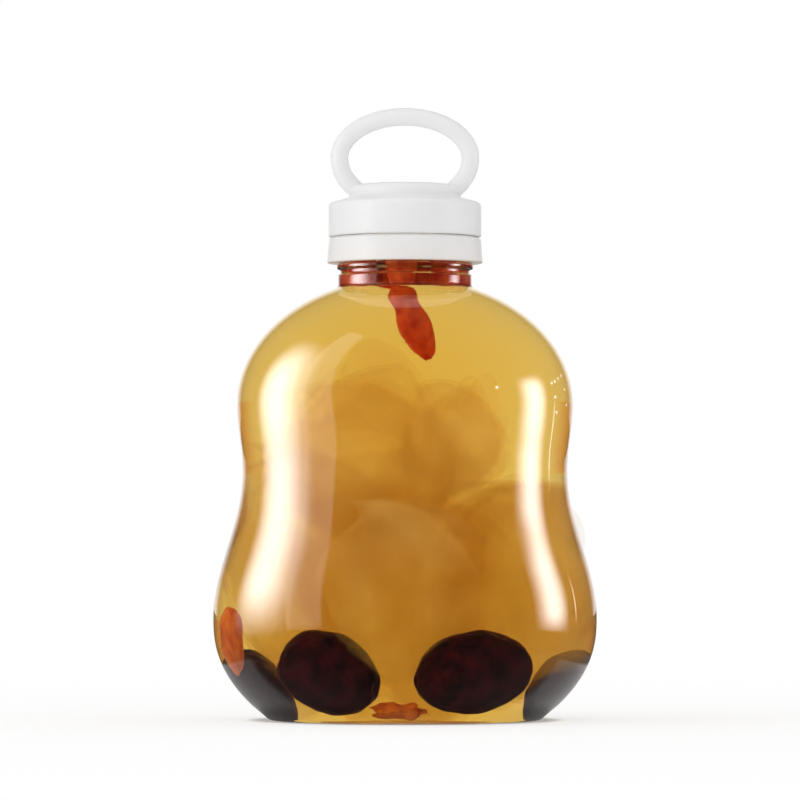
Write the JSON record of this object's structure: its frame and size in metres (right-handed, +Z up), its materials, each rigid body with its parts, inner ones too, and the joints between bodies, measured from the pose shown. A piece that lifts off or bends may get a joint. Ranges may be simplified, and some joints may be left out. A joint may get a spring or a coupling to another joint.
{
  "type": "plastic drink bottle",
  "caption": "Gourd-shaped clear plastic drink bottle with a milky screw cap, tamper band and upright carrying loop, filled with an amber fruit drink.",
  "frame": {"origin": "centre of the standing ring at the bottle's foot", "axes": "+Z up along the bottle's axis, +X across the carrying loop's width, -Y towards the viewer of the picture"},
  "size_m": [0.1026, 0.1026, 0.1642],
  "materials": {
    "clear_plastic": "gloss",
    "milky_plastic": "satin",
    "liner_foam": "matte",
    "drink": "gloss",
    "date": "satin",
    "wolfberry": "satin",
    "snow_fungus": "satin"
  },
  "bodies": {
    "bottle": {"bottle_body": "clear_plastic", "tamper_band": "milky_plastic", "drink": "drink", "date_1": "date", "date_2": "date", "date_3": "date", "date_4": "date", "wolfberry_01": "wolfberry", "wolfberry_02": "wolfberry", "wolfberry_03": "wolfberry", "wolfberry_04": "wolfberry", "wolfberry_05": "wolfberry", "wolfberry_06": "wolfberry", "wolfberry_07": "wolfberry", "wolfberry_08": "wolfberry", "wolfberry_09": "wolfberry", "wolfberry_10": "wolfberry", "wolfberry_11": "wolfberry", "fungus_lobe_1": "snow_fungus", "fungus_lobe_2": "snow_fungus", "fungus_lobe_3": "snow_fungus", "fungus_lobe_4": "snow_fungus", "fungus_lobe_5": "snow_fungus", "fungus_lobe_6": "snow_fungus"},
    "seal": {"seal_liner": "liner_foam"},
    "cap": {"cap": "milky_plastic"}
  },
  "joints": [
    {"name": "cap_rise", "type": "slide", "parent": "bottle", "child": "seal", "axis": [0, 0, 1], "range_m": [0, 0.0095]},
    {"name": "cap_turn", "type": "hinge", "parent": "seal", "child": "cap", "pos_m": [0, 0, 0.1372], "axis": [0, 0, 1], "range_deg": [0, 360]}
  ],
  "couplings": [
    {"joint": "cap_rise", "follows": "cap_turn", "m_per_rad": 0.001512}
  ]
}
